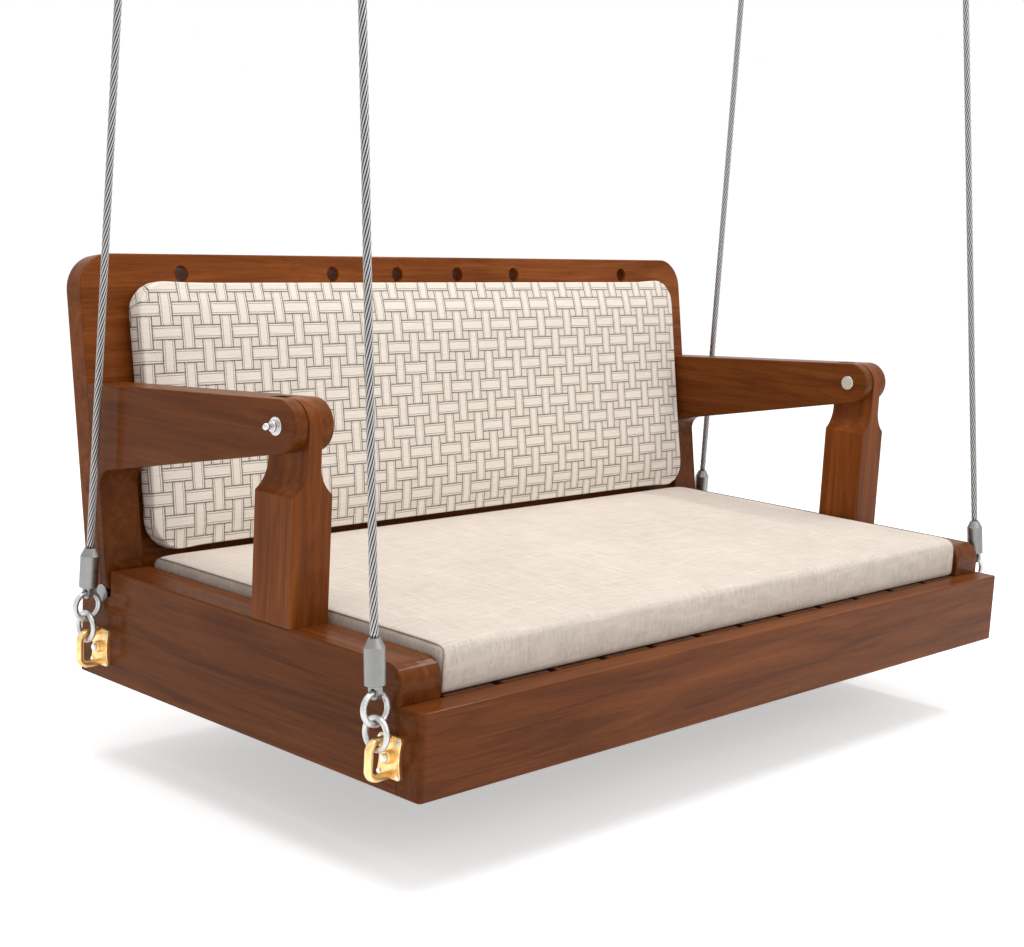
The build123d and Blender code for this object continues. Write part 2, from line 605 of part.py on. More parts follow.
class Hanger:
    """One rope's line, from the loop's bar on the seat frame up to the pin at the ceiling.

    Its own frame has Z along the rope, X along the seat and its origin on the loop's bar.
    """

    def __init__(self, side, foot_y, lean, slack):
        self.slack = slack
        self.foot_x = side * HANGER_X
        self.foot_y = foot_y
        self.foot_z = z_at(LOOP_BAR_HEIGHT)
        self.top_z = -CEILING_PIN_DROP
        rise = self.top_z - self.foot_z
        self.top_x = self.foot_x - side * SIDE_LEAN * rise
        self.top_y = self.foot_y + lean * rise
        back = self.top_y - self.foot_y
        self.length = hypot(self.top_x - self.foot_x, back, rise)
        self.tilt = -degrees(atan2(back, rise))
        self.cant = degrees(asin((self.top_x - self.foot_x) / self.length))

    def place(self, shape):
        return Pos(self.foot_x, self.foot_y, self.foot_z) * Rot(self.tilt, 0, 0) * Rot(0, self.cant, 0) * shape

    def lower_ring_z(self):
        half_bar = LOOP_BAR_HEIGHT - LOOP_HOLE_TOP
        return RING_INNER - half_bar - self.slack

    def upper_ring_z(self):
        return self.lower_ring_z() + 2 * RING_MEAN - RING_BAR_DIA - LINK_SLACK

    def eye_z(self):
        return self.upper_ring_z() + RING_MEAN + EYE_HOLE_RADIUS - RING_BAR_DIA / 2 - EYE_SLACK

    def rope_ends(self):
        fitting = TERMINAL_BODY + TERMINAL_CONE
        return self.eye_z() + TANG_LENGTH + fitting, self.length - UPPER_TANG_LENGTH - fitting

    def lower_ring(self):
        ring = Rot(0, 90, 0) * Torus(RING_MEAN, RING_BAR_DIA / 2)
        return self.place(Pos(0, 0, self.lower_ring_z()) * ring)

    def upper_ring(self):
        ring = Rot(90, 0, 0) * Torus(RING_MEAN, RING_BAR_DIA / 2)
        return self.place(Pos(0, 0, self.upper_ring_z()) * ring)

    def lower_terminal(self):
        hole = rod_x(-EYE_THICK, EYE_THICK, 0, 0, EYE_HOLE_RADIUS)
        return self.place(Pos(0, 0, self.eye_z()) * (terminal(TANG_LENGTH) - hole))

    def upper_terminal(self):
        """Its eye is bored level, along the ceiling pin."""
        fitting = self.place(Pos(0, 0, self.length) * Rot(180, 0, 0) * terminal(UPPER_TANG_LENGTH))
        return fitting - rod_x(self.top_x - EYE_THICK, self.top_x + EYE_THICK, self.top_y, self.top_z,
                               CEILING_PIN_DIA / 2 + PIN_FIT)

    def rope(self):
        start, end = self.rope_ends()
        return self.place(Pos(0, 0, (start + end) / 2) * Cylinder(ROPE_DIA / 2, end - start))


def terminal(tang_length):
    """Swaged end fitting, its eye not yet bored: a flat eye, a round body and a cone. Eye at the origin."""
    start, end = tang_length, tang_length + TERMINAL_BODY
    tip = end + TERMINAL_CONE
    body = Pos(0, 0, (start + end) / 2) * Cylinder(TERMINAL_DIA / 2, TERMINAL_BODY)
    body = fillet(body.edges().group_by(Axis.Z)[0], EDGE_ROUND / 2)
    cone = Pos(0, 0, (end + tip) / 2) * Cone(TERMINAL_DIA / 2, TERMINAL_TOP_DIA / 2, TERMINAL_CONE)
    eye = rod_x(-EYE_THICK / 2, EYE_THICK / 2, 0, 0, EYE_RADIUS)
    tang = block(-EYE_THICK / 2, EYE_THICK / 2, -EYE_RADIUS, EYE_RADIUS, 0, start + EDGE_ROUND)
    return body + cone + eye + tang


def ceiling_bracket(hanger):
    """Plate with two ears that hold the pin of one rope."""
    half = CEILING_PLATE_SIZE / 2
    x, y, z = hanger.top_x, hanger.top_y, hanger.top_z
    plate = block(x - half, x + half, y - half, y + half, -CEILING_PLATE_THICK, 0)
    plate = fillet(plate.edges().filter_by(Axis.Z), CEILING_PLATE_THICK)
    for dx in (-CEILING_HOLE_SPACING / 2, CEILING_HOLE_SPACING / 2):
        for dy in (-CEILING_HOLE_SPACING / 2, CEILING_HOLE_SPACING / 2):
            plate -= Pos(x + dx, y + dy, 0) * Cylinder(CEILING_HOLE_DIA / 2, 3 * CEILING_PLATE_THICK)
    for side in (-1, 1):
        inner = side * (EYE_THICK / 2 + EAR_GAP)
        x0, x1 = sorted((x + inner, x + inner + side * EAR_THICK))
        ear = rod_x(x0, x1, y, z, EAR_RADIUS)
        ear += block(x0, x1, y - EAR_RADIUS, y + EAR_RADIUS, z, -CEILING_PLATE_THICK / 2)
        plate += ear
    return plate - rod_x(x - half, x + half, y, z, CEILING_PIN_DIA / 2 + FASTENER_GAP / 2)


def ceiling_pin(hanger):
    x, y, z = hanger.top_x, hanger.top_y, hanger.top_z
    reach = EYE_THICK / 2 + EAR_GAP + EAR_THICK
    pin = rod_x(x - reach, x + reach, y, z, CEILING_PIN_DIA / 2)
    for side in (-1, 1):
        x0, x1 = sorted((x + side * reach, x + side * (reach + CEILING_PIN_HEAD)))
        pin += rod_x(x0, x1, y, z, CEILING_PIN_HEAD_DIA / 2)
    return pin


def suspension():
    """Nodes of the four ropes and their fittings."""
    front_y, back_y = bracket_centres()
    rows = {"front": (front_y, FRONT_LEAN, FRONT_LOOP_SLACK),
            "back": (back_y + LOOP_PLAY, -BACK_LEAN, BACK_LOOP_SLACK)}
    nodes = {}
    pins = []
    for row, (foot_y, lean, slack) in rows.items():
        lefts = Hanger(-1, foot_y, lean, slack)
        rights = Hanger(1, foot_y, lean, slack)
        for side, hanger in (("left", lefts), ("right", rights)):
            nodes[f"ceiling_bracket_{row}_{side}"] = ceiling_bracket(hanger)
            nodes[f"rope_{row}_{side}"] = hanger.rope()
            nodes[f"upper_terminal_{row}_{side}"] = hanger.upper_terminal()
            nodes[f"lower_terminal_{row}_{side}"] = hanger.lower_terminal()
            pins.append(ceiling_pin(hanger))
        nodes[f"upper_rings_{row}"] = group([lefts.upper_ring(), rights.upper_ring()])
        nodes[f"lower_rings_{row}"] = group([lefts.lower_ring(), rights.lower_ring()])
        print(f"{row} rope: {lefts.rope_ends()[1] - lefts.rope_ends()[0]:.1f} mm, straight, "
              f"pivots X {lefts.foot_x:.2f} Y {lefts.foot_y:.2f} Z {lefts.foot_z:.2f} "
              f"and X {lefts.top_x:.2f} Y {lefts.top_y:.2f} Z {lefts.top_z:.2f}")
    nodes["ceiling_pins"] = group(pins)
    return nodes


def build():
    front_y, back_y = bracket_centres()
    nodes = {
        "front_rail": front_rail(),
        "back_rail": back_rail(),
        "frame_dowels": group(frame_dowels()),
        "front_cleat": cleat(y_at(FRONT_RAIL_THICK)),
        "back_cleat": cleat(y_at(SEAT_DEPTH - BACK_RAIL_THICK - CLEAT_WIDTH)),
        "centre_bearer": cleat(y_at(SEAT_DEPTH / 2) - CLEAT_WIDTH / 2),
        "seat_slats": seat_slats(),
        "seat_cushion": seat_cushion(),
        "back_panel": back_panel(),
        "back_cushion": back_cushion(),
        "bracket_screws": bracket_screws(),
        "bracket_bolts": bracket_bolts(),
    }
    screws = arm_screw_bodies()
    nodes["arm_screws"] = group(screws + [mirrored(s) for s in screws])
    nodes.update(both_sides("side_rail", side_rail()))
    nodes.update(both_sides("post", post()))
    nodes.update(both_sides("arm", arm()))
    nodes.update(both_sides("rest_bar", rest_bar()))
    nodes.update(both_sides("pivot_bush", pivot_bush()))
    nodes.update(both_sides("pivot_pin", pivot_pin()))
    nodes.update(both_sides("pivot_washer", pivot_washer()))
    nodes.update(both_sides("pivot_nut", pivot_nut()))
    nodes.update(both_sides("corner_bracket_front", corner_bracket(front_y)))
    nodes.update(both_sides("corner_bracket_back", corner_bracket(back_y)))
    nodes.update(suspension())
    return nodes


os.makedirs("parts", exist_ok=True)
for node, shape in build().items():
    export_step(shape, f"parts/{node}.step")
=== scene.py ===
from math import cos, pi, radians, sin

import bpy
import numpy as np
from mathutils import Matrix, Vector


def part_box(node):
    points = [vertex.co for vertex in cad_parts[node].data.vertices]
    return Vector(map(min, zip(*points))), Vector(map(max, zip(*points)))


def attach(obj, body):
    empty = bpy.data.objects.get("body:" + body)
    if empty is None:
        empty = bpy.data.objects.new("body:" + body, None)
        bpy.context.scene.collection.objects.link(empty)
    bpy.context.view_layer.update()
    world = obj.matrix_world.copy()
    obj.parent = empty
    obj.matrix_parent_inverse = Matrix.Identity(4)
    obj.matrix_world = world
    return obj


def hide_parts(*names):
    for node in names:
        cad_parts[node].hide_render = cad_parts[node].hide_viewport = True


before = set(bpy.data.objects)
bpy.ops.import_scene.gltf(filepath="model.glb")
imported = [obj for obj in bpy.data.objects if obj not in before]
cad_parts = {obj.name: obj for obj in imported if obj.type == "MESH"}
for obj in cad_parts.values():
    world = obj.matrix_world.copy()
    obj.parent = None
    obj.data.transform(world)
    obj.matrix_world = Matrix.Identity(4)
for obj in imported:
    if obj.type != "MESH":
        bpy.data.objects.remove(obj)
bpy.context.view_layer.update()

scene = bpy.context.scene

# ---- sizes, in metres, in the model's frame, and levels --------------------------------------
MM = 0.001
RECLINE = radians(9.0)
PANEL_FOOT = Vector((0.0, 0.3965, -0.940))    # the panel's face at the top of the arms
FLOOR_Z = -1.412 - 0.140
ROPE_DIA = 0.012
ROPE_LAY = 0.110
STRANDS, STRAND_SIDES, STEPS_PER_TURN = 8, 8, 14
SIDES = {"left": -1, "right": 1}
ROWS = ("front", "back")

SEAT_INSET = [0.003, 0.001, 0.0]              # the cover's half size under the solid's, by axis
SEAT_CELL, SEAT_LAYERS = 0.010, 8
SEAT_RADII = (0.004, 0.013)                   # long edges: foot, top
SEAT_SWELL = 0.006
SEAT_CROWN, SEAT_SINK = 0.0045, 0.002
SIDE_SHARE, TOP_SHARE = 0.45, 0.4             # how much of the swelling shows
SEAM_GROOVE = [0.0016, 0.0008, 0.0018]
SEAM_RADIUS = 0.0013
PINCH_REACH = 0.016
PINCH_DEPTH = [0.0022, 0.0012, 0.0028]
STITCH_LENGTH, STITCH_RADIUS = 0.0064, 0.00055
STITCH_PITCH_UP, STITCH_PITCH_ALONG = 0.0052, 0.0058

BACK_INSET = 0.001
BACK_CORNER, BACK_THICK = 0.055, 0.042
BACK_FOOT, BACK_HEAD = -0.271 - 0.004, 0.158  # heights over PANEL_FOOT
BACK_EDGE = 0.010
BACK_VOXEL = 0.009
BACK_SWELL = 0.010
BACK_CROWN = 0.008
BACK_DEPTHS = (0.0006, 0.0545)                # from the panel's face
PRINT_FOLD_START = 0.036                      # depth at which the print turns round the edge
PRINT_FOLD_MOST = 0.05
PRINT_RIM = 0.012

ROOM_LIGHT = 0.62
FLOOR_SIDE = 400.0
FLOOR_GLOW = 0.46


# ---- shader maths ----------------------------------------------------------------------------
class Wire:
    """A shader socket that takes part in Python sums; each sum adds its Math nodes."""

    def __init__(self, tree, socket):
        self.tree = tree
        self.socket = socket

    def maths(self, operation, *others):
        return self.tree.node("ShaderNodeMath", {"operation": operation}, [self, *others])

    def __add__(self, other):
        return self.maths("ADD", other)

    __radd__ = __add__

    def __mul__(self, other):
        return self.maths("MULTIPLY", other)

    __rmul__ = __mul__

    def __sub__(self, other):
        return self.maths("SUBTRACT", other)

    def __rsub__(self, other):
        return self.tree.node("ShaderNodeMath", {"operation": "SUBTRACT"}, [other, self])

    def __truediv__(self, other):
        return self.maths("DIVIDE", other)

    def __gt__(self, other):
        return self.maths("GREATER_THAN", other)

    def __lt__(self, other):
        return self.maths("LESS_THAN", other)

    def __abs__(self):
        return self.maths("ABSOLUTE")

    def __mod__(self, other):
        return self.maths("FLOORED_MODULO", other)

    def floor(self):
        return self.maths("FLOOR")

    def most(self, other):
        return self.maths("MAXIMUM", other)


class Finish:
    """A material with one Principled shader and short ways to add nodes to it."""

    def __init__(self, name, **sockets):
        self.material = bpy.data.materials.new(name)
        self.material.use_nodes = True
        self.nodes = self.material.node_tree.nodes
        self.links = self.material.node_tree.links
        self.shader = self.nodes["Principled BSDF"]
        self.feed(**sockets)

    def feed(self, **sockets):
        for name, value in sockets.items():
            self.put(self.shader.inputs[name.replace("_", " ")], value)

    def put(self, socket, value):
        if isinstance(value, Wire):
            self.links.new(value.socket, socket)
        elif isinstance(value, (tuple, list)) and len(value) == 3 and socket.type == "RGBA":
            socket.default_value = (*value, 1.0)
        else:
            socket.default_value = value

    def node(self, kind, settings=None, sockets=None, output=0):
        """Adds a node: its settings first, then its sockets by place or by name."""
        node = self.nodes.new(kind)
        for name, value in (settings or {}).items():
            if name == "stops":
                self.set_stops(node.color_ramp, value)
            else:
                setattr(node, name, value)
        pairs = sockets.items() if isinstance(sockets, dict) else enumerate(sockets or [])
        for key, value in pairs:
            self.put(node.inputs[key], value)
        return Wire(self, node.outputs[output])

    def set_stops(self, ramp, stops):
        while len(ramp.elements) < len(stops):
            ramp.elements.new(0.5)
        for element, (place, colour) in zip(ramp.elements, stops):
            element.position = place
            element.color = (*colour, 1.0)

    def place(self, scale=(1, 1, 1), turn=(0, 0, 0), shift=(0, 0, 0)):
        """Object coordinates, turned and scaled."""
        spot = self.node("ShaderNodeTexCoord", output=3)
        return self.node("ShaderNodeMapping", {}, {"Vector": spot, "Location": shift, "Rotation": turn,
                                                   "Scale": scale})

    def noise(self, vector, scale, detail=3.0, rough=0.5, distort=0.0):
        return self.node("ShaderNodeTexNoise", {}, {"Vector": vector, "Scale": scale, "Detail": detail,
                                                    "Roughness": rough, "Distortion": distort})

    def ramp(self, factor, *stops):
        return self.node("ShaderNodeValToRGB", {"stops": stops}, [factor])

    def level(self, factor, low, high, to_low=0.0, to_high=1.0):
        """A value brought from one range into another and held there."""
        return self.node("ShaderNodeMapRange", {}, {"Value": factor, "From Min": low, "From Max": high,
                                                    "To Min": to_low, "To Max": to_high})

    def stretch(self, vector, scale):
        return self.node("ShaderNodeMapping", {}, {"Vector": vector, "Scale": scale})

    def mix(self, factor, first, second):
        node = self.nodes.new("ShaderNodeMix")
        node.data_type = "RGBA"
        for key, value in ((0, factor), (6, first), (7, second)):
            self.put(node.inputs[key], value)
        return Wire(self, node.outputs[2])

    def split(self, vector):
        node = self.nodes.new("ShaderNodeSeparateXYZ")
        self.put(node.inputs[0], vector)
        return [Wire(self, socket) for socket in node.outputs]

    def bump(self, height, distance, strength=1.0):
        return self.node("ShaderNodeBump", {}, {"Height": height, "Distance": distance,
                                                "Strength": strength})


# ---- finishes --------------------------------------------------------------------------------
ALONG = {"x": (0, 0, 0), "y": (0, 0, radians(90)), "z": (0, radians(90), 0)}


def dark_and_light(colour, darker, paler):
    return [c * darker for c in colour], [min(1.0, c * paler) for c in colour]


def lacquered_wood(name, grain, seed, tone):
    """Red-brown hardwood under satin lacquer, its grain along one axis."""
    wood = Finish(name, IOR=1.5, Specular_IOR_Level=0.06, Specular_Tint=(1.0, 0.45, 0.20),
                  Coat_Weight=0.13, Coat_Roughness=0.06, Coat_IOR=1.5)
    shift = (seed * 0.37, seed * 0.61, seed * 0.83)
    run = wood.place(turn=ALONG[grain], shift=shift)

    def stretched(along, across):
        return wood.stretch(run, (along, across, across))

    drift = wood.noise(stretched(0.9, 5.0), 1.6, 2.0)
    figure = wood.noise(stretched(1.3, 16.0), 2.2, 5.0, 0.62, 1.1)
    streaks = wood.noise(stretched(3.0, 150.0), 2.0, 4.0, 0.6, 0.15)
    pores = wood.level(wood.noise(stretched(45.0, 900.0), 1.0, 2.0, 0.5), 0.60, 0.70)
    mixed = figure * 0.62 + streaks * 0.30 + drift * 0.34 - 0.13
    colour = wood.ramp(mixed,
                       (0.26, (0.052 * tone, 0.0115 * tone, 0.0018 * tone)),
                       (0.44, (0.108 * tone, 0.0270 * tone, 0.0042 * tone)),
                       (0.58, (0.158 * tone, 0.0430 * tone, 0.0078 * tone)),
                       (0.80, (0.245 * tone, 0.0760 * tone, 0.0170 * tone)))
    colour = wood.mix(pores * 0.35, colour, (0.040, 0.010, 0.002))
    height = streaks * 0.6 - pores * 0.8
    wood.feed(Base_Color=colour, Roughness=wood.level(streaks, 0.3, 0.7, 0.45, 0.35),
              Normal=wood.bump(height, 0.0002, 0.25))
    return wood.material


def plain_wood(name, grain, seed):
    """Planed and stained wood of the hidden deck."""
    wood = Finish(name, Roughness=0.62, Specular_IOR_Level=0.2)
    run = wood.place(turn=ALONG[grain], shift=(seed, seed * 0.7, seed * 0.4))
    lines = wood.noise(wood.stretch(run, (2.0, 60.0, 60.0)), 2.0, 4.0)
    wood.feed(Base_Color=wood.ramp(lines, (0.3, (0.060, 0.022, 0.008)), (0.7, (0.135, 0.055, 0.021))),
              Normal=wood.bump(lines, 0.0003, 0.4))
    return wood.material


def brushed_metal(name, colour, rough, lines=(40.0, 40.0, 2500.0), depth=0.00004, grain=0.0):
    """Metal with fine brush lines across its length."""
    metal = Finish(name, Metallic=1.0, Anisotropic=grain)
    run = metal.place(scale=lines)
    brush = metal.noise(run, 1.0, 3.0, 0.6)
    cloud = metal.noise(metal.place(), 60.0, 3.0)
    shade = metal.mix(metal.level(brush * 0.7 + cloud * 0.3, 0.3, 0.7),
                      *dark_and_light(colour, 0.86, 1.08))
    metal.feed(Base_Color=shade, Roughness=metal.level(brush, 0.3, 0.7, rough * 0.8, rough * 1.25),
               Normal=metal.bump(brush, depth, 0.5))
    return metal.material


def laid_wire(name, painted_gap_shade, crest):
    """Bright wire with painted shade where its strands meet."""
    wire = Finish(name, Metallic=1.0)
    depth = wire.node("ShaderNodeAttribute", {"attribute_name": "Depth"}, output=2)
    scuff = wire.noise(wire.place(scale=(900.0, 900.0, 900.0)), 1.0, 3.0, 0.6)
    # The first colour is painted shade, laid on where each strand sinks between its neighbours; the
    # second is the wire's own colour.
    unshaded_share = wire.level(depth, 0.85, 0.985)
    wire.feed(Base_Color=wire.mix(unshaded_share * (0.70 + scuff * 0.50), painted_gap_shade, crest),
              Roughness=wire.level(scuff, 0.3, 0.7, 0.28, 0.42),
              Normal=wire.bump(scuff, 0.0001, 0.4))
    return wire.material


def cast_brass(name):
    """Polished cast brass, a little uneven, darker in the hollows of the skin."""
    brass = Finish(name, Metallic=1.0)
    skin = brass.noise(brass.place(), 90.0, 4.0, 0.55)
    fine = brass.noise(brass.place(), 700.0, 2.0)
    brass.feed(Base_Color=brass.ramp(skin, (0.35, (0.80, 0.52, 0.22)), (0.65, (1.0, 0.745, 0.375))),
               Roughness=brass.level(skin, 0.3, 0.7, 0.42, 0.30),
               Normal=brass.bump(skin * 0.9 + fine * 0.1, 0.0005, 0.25))
    return brass.material


def thread_crossing(cloth, run, pitch):
    """Height of a plain weave and a mask of its warp threads, with threads along X and along Y."""
    across, along, _ = cloth.split(run)
    warp = abs((across / pitch) % 1.0 - 0.5)
    weft = abs((along / pitch) % 1.0 - 0.5)
    cell = ((across / pitch).floor() + (along / pitch).floor()) % 2.0
    over = cell * (1.0 - warp * 2.0) + (1.0 - cell) * (1.0 - weft * 2.0)
    return over, cell


def linen(name, colour):
    """Oatmeal linen: plain weave, slubs along both threads, soft sheen."""
    cloth = Finish(name, Roughness=0.92, Sheen_Weight=0.15, Sheen_Roughness=0.5, Specular_IOR_Level=0.2)
    run = cloth.place()
    over, cell = thread_crossing(cloth, run, 0.0011)
    warp_slub = cloth.noise(cloth.stretch(run, (700.0, 22.0, 60.0)), 1.0, 3.0, 0.6)
    weft_slub = cloth.noise(cloth.stretch(run, (22.0, 700.0, 60.0)), 1.0, 3.0, 0.6)
    wash = cloth.noise(run, 7.0, 2.0)
    slubs = cell * warp_slub + (1.0 - cell) * weft_slub
    thick = [cloth.noise(cloth.stretch(run, scale), 1.0, 2.0, 0.6)
             for scale in ((230.0, 18.0, 70.0), (18.0, 230.0, 70.0))]
    # The middle of each raised thread is painted paler than its edges: painted light on the weave,
    # added to the yarn's real slubs and tone.
    light = slubs * 0.50 + over * 0.10 + wash * 0.18 + thick[0].most(thick[1]) * 0.62 - 0.17
    shade = cloth.mix(cloth.level(light, 0.32, 0.80), *dark_and_light(colour, 0.70, 1.16))
    cloth.feed(Base_Color=shade, Normal=cloth.bump(over * 0.6 + slubs * 0.8, 0.0005, 0.45))
    return cloth.material


def strapwork(name, ground, ink, cell=0.0385):
    """Linen printed with a plain over-and-under lattice of outlined straps."""
    cloth = Finish(name, Roughness=0.90, Sheen_Weight=0.12, Sheen_Roughness=0.5, Specular_IOR_Level=0.2)
    spot = cloth.node("ShaderNodeUVMap", {"uv_map": "Print"})
    waver = cloth.noise(spot, 90.0, 2.0)
    across, along, _ = cloth.split(spot)
    u = across / cell + waver * 0.03
    v = along / cell + waver * 0.03
    turn = (u.floor() + v.floor()) % 2.0
    a = abs(u % 1.0 - 0.5)
    b = abs(v % 1.0 - 0.5)
    # In every other cell the two straps change places, so each goes over and then under.
    side = turn * a + (1.0 - turn) * b
    end = turn * b + (1.0 - turn) * a
    half, line, inner = 0.29, 0.036, 0.190

    def stroke(distance, width):
        return cloth.level(abs(distance), width, width * 0.55)

    over_edge = stroke(side - half, line)
    over_inner = stroke(side - inner, line * 0.6)
    beyond = side > half
    under_edge = stroke(end - half, line) * beyond
    under_inner = stroke(end - inner, line * 0.6) * beyond
    drawn = over_edge.most(over_inner * 0.7).most(under_edge).most(under_inner * 0.7)
    hole = beyond * (end > half)
    tuck = beyond * (end < half) * cloth.level(side, 0.42, half) * 0.30
    grey = drawn.most(hole * 0.11).most(tuck)
    over, _ = thread_crossing(cloth, spot, 0.0010)
    slub = cloth.noise(cloth.stretch(spot, (25.0, 650.0, 1.0)), 1.0, 3.0)
    # The middle of each raised thread is painted paler than its edges: painted light on the weave,
    # added to the real slubs.
    base = cloth.mix(cloth.level(slub * 0.8 + over * 0.2, 0.3, 0.75),
                     *dark_and_light(ground, 0.86, 1.08))
    faded = cloth.level(cloth.noise(spot, 420.0, 2.0), 0.3, 0.62, 0.55, 1.0)
    cloth.feed(Base_Color=cloth.mix(grey * faded, base, ink),
               Normal=cloth.bump(over * 0.5 + slub * 0.6, 0.0004, 0.4))
    return cloth.material


finishes = {
    "wood_x": lacquered_wood("Wood along X", "x", seed=1.0, tone=1.0),
    "wood_panel": lacquered_wood("Wood of the panel", "x", seed=2.6, tone=1.45),
    "wood_y": lacquered_wood("Wood along Y", "y", seed=4.1, tone=0.94),
    "wood_arm": lacquered_wood("Wood of the arms", "y", seed=6.2, tone=0.95),
    "wood_z": lacquered_wood("Wood along Z", "z", seed=8.3, tone=1.40),
    "deck": plain_wood("Deck wood", "y", seed=1.7),
    "steel": brushed_metal("Brushed stainless", (0.30, 0.297, 0.29), 0.30, depth=0.00009, grain=0.8),
    "ring_steel": brushed_metal("Tumbled stainless", (0.62, 0.62, 0.62), 0.38,
                                lines=(300.0, 300.0, 300.0)),
    "bright": brushed_metal("Turned steel", (0.68, 0.67, 0.66), 0.24, lines=(60.0, 900.0, 900.0)),
    # The wire's first colour is painted shade for the gaps between strands.
    "wire": laid_wire("Wire", (0.016, 0.015, 0.015), (0.56, 0.55, 0.54)),
    "screw": brushed_metal("Screw steel", (0.80, 0.80, 0.78), 0.32, lines=(500.0, 500.0, 500.0)),
    "brass": cast_brass("Cast brass"),
    "bronze": brushed_metal("Bronze", (0.55, 0.36, 0.17), 0.35),
    "linen": linen("Oatmeal linen", (0.69, 0.603, 0.523)),
    "thread": linen("Sewing thread", (0.17, 0.125, 0.09)),
    # The seam cord is linen painted darker than the cover: painted shade along the seam line.
    "seam": linen("Seam of linen", (0.40, 0.325, 0.26)),
    "print": strapwork("Strapwork linen", (0.86, 0.775, 0.685), (0.060, 0.048, 0.040)),
}


FINISH_OF = {
    "front_rail": "wood_x", "back_rail": "wood_x", "back_panel": "wood_panel", "side_rail": "wood_y",
    "arm": "wood_arm", "post": "wood_z",
    "front_cleat": "deck", "back_cleat": "deck", "centre_bearer": "deck", "seat_slats": "deck",
    "frame_dowels": "deck",
    "pivot_pin": "bright", "pivot_washer": "bright", "pivot_nut": "bright", "pivot_bush": "bronze",
    "bracket_screws": "screw", "bracket_bolts": "screw", "arm_screws": "screw",
}
FINISH_BY_START = {"corner_bracket": "brass", "upper_rings": "ring_steel", "lower_rings": "ring_steel",
                   "rope": "wire"}
CUSHIONS = ("seat_cushion", "back_cushion")


def finish_of(node):
    """The name of a CAD node's finish; fittings without a line in the tables are steel."""
    kind = node.rsplit("_left", 1)[0].rsplit("_right", 1)[0]
    by_start = [finish for start, finish in FINISH_BY_START.items() if kind.startswith(start)]
    return FINISH_OF.get(kind) or (by_start[0] if by_start else "steel")


for node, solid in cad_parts.items():
    if node not in CUSHIONS:
        for slot in solid.material_slots:
            slot.material = finishes[finish_of(node)]


# ---- modelling helpers -----------------------------------------------------------------------
def start(add, **settings):
    """Adds a primitive with nothing else selected and returns it."""
    bpy.ops.object.select_all(action="DESELECT")
    add(**settings)
    return bpy.context.object


def only(piece):
    bpy.ops.object.select_all(action="DESELECT")
    piece.select_set(True)
    bpy.context.view_layer.objects.active = piece


def settle(piece):
    """Puts a piece's place, turn and size into its mesh."""
    only(piece)
    bpy.ops.object.transform_apply(location=True, rotation=True, scale=True)


def finish_modifier(piece, kind, **settings):
    modifier = piece.modifiers.new(kind, kind)
    for name, value in settings.items():
        setattr(modifier, name, value)
    only(piece)
    bpy.ops.object.modifier_apply(modifier=modifier.name)


def points(piece):
    found = np.zeros(len(piece.data.vertices) * 3)
    piece.data.vertices.foreach_get("co", found)
    return found.reshape(-1, 3)


def set_points(piece, places):
    piece.data.vertices.foreach_set("co", places.ravel())
    piece.data.update()


def in_edit_mode(*steps):
    """Selects the whole active mesh, takes the steps on it in edit mode, and leaves edit mode."""
    bpy.ops.object.mode_set(mode="EDIT")
    bpy.ops.mesh.select_all(action="SELECT")
    for step in steps:
        step()
    bpy.ops.object.mode_set(mode="OBJECT")


def face_out():
    bpy.ops.mesh.normals_make_consistent(inside=False)


def join(pieces, name):
    bpy.ops.object.select_all(action="DESELECT")
    for piece in pieces:
        piece.select_set(True)
    bpy.context.view_layer.objects.active = pieces[0]
    bpy.ops.object.join()
    pieces[0].name = name
    return pieces[0]


def paint(piece, finish):
    piece.data.materials.clear()
    piece.data.materials.append(finishes[finish])


# ---- wire ropes ------------------------------------------------------------------------------
def rope_ends(node):
    """Centres of a rope node's lower and upper end, from its solid."""
    spots = points(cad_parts[node])
    low = spots[spots[:, 2] < spots[:, 2].min() + 2 * MM]
    high = spots[spots[:, 2] > spots[:, 2].max() - 2 * MM]
    return Vector((low.min(0) + low.max(0)) / 2), Vector((high.min(0) + high.max(0)) / 2)


def wire_rope(row, side):
    """Strands laid round a core, between the two end fittings."""
    node = f"rope_{row}_{side}"
    foot, head = rope_ends(node)
    run = head - foot
    length = run.length
    turns = round(length / ROPE_LAY)
    lay_radius = ROPE_DIA / 2 / (1 + sin(pi / STRANDS))
    strand_radius = ROPE_DIA / 2 - lay_radius
    strands = []
    for i in range(STRANDS + 1):
        core = i == STRANDS
        turn = 2 * pi * i / STRANDS
        spot = (0, 0, 0) if core else (lay_radius * cos(turn), lay_radius * sin(turn), 0)
        radius = lay_radius - strand_radius * 0.9 if core else strand_radius
        strand = start(bpy.ops.mesh.primitive_circle_add, vertices=STRAND_SIDES, radius=radius,
                       location=spot)
        settle(strand)
        finish_modifier(strand, "SCREW", axis="Z", angle=2 * pi, screw_offset=length / turns,
                        iterations=turns, steps=STEPS_PER_TURN, render_steps=STEPS_PER_TURN,
                        use_smooth_shade=True, use_merge_vertices=True, merge_threshold=0.00002)
        strands.append(strand)
    rope = join(strands, f"wire_{row}_{side}")
    rope.rotation_mode = "QUATERNION"
    rope.rotation_quaternion = run.to_track_quat("Z", "Y")
    rope.location = foot
    settle(rope)
    in_edit_mode(lambda: bpy.ops.mesh.fill_holes(sides=STRAND_SIDES), face_out)
    out = points(rope) - np.array(foot)
    line = np.array(run / length)
    away = np.linalg.norm(out - np.outer(out @ line, line), axis=1)
    rope.data.attributes.new("Depth", "FLOAT", "POINT").data.foreach_set("value", away / (ROPE_DIA / 2))
    paint(rope, "wire")
    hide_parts(node)
    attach(rope, f"{row}_hangers")


for row in ROWS:
    for side in SIDES:
        wire_rope(row, side)


